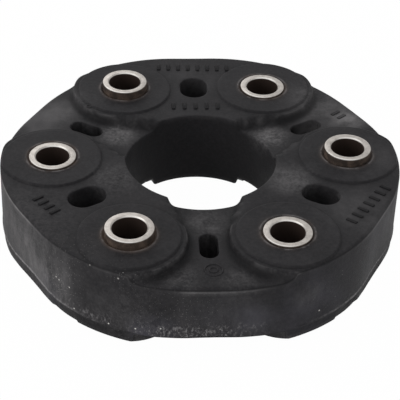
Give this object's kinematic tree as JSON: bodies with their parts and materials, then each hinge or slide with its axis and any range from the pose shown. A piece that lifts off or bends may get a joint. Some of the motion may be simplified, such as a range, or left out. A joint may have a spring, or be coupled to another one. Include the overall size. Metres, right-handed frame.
{
  "type": "flexible coupling disc",
  "caption": "Rubber coupling disc with moulded-in cord loops and steel sleeves on one bolt circle, for the flanged ends of a propeller shaft.",
  "frame": {"origin": "on the disc's axis, half way between its two faces", "axes": "+Z along the disc's axis; +X through the axis of sleeve 1, which stands proud on the +Z face"},
  "size_m": [0.1472, 0.1434, 0.0372],
  "materials": {
    "rubber": "matt",
    "sleeve_steel": "satin",
    "collar_plastic": "matt",
    "cord": "matt"
  },
  "bodies": {
    "root": {"bolt_sleeve_1": "sleeve_steel", "bolt_sleeve_2": "sleeve_steel", "bolt_sleeve_3": "sleeve_steel", "bolt_sleeve_4": "sleeve_steel", "bolt_sleeve_5": "sleeve_steel", "bolt_sleeve_6": "sleeve_steel", "lower_collar_1": "collar_plastic", "lower_collar_2": "collar_plastic", "lower_collar_3": "collar_plastic", "lower_collar_4": "collar_plastic", "lower_collar_5": "collar_plastic", "lower_collar_6": "collar_plastic", "lower_drive_cord_1": "cord", "lower_drive_cord_2": "cord", "lower_drive_cord_3": "cord", "overrun_cord_1": "cord", "overrun_cord_2": "cord", "overrun_cord_3": "cord", "rubber_disc": "rubber", "upper_collar_1": "collar_plastic", "upper_collar_2": "collar_plastic", "upper_collar_3": "collar_plastic", "upper_collar_4": "collar_plastic", "upper_collar_5": "collar_plastic", "upper_collar_6": "collar_plastic", "upper_drive_cord_1": "cord", "upper_drive_cord_2": "cord", "upper_drive_cord_3": "cord"}
  },
  "joints": []
}
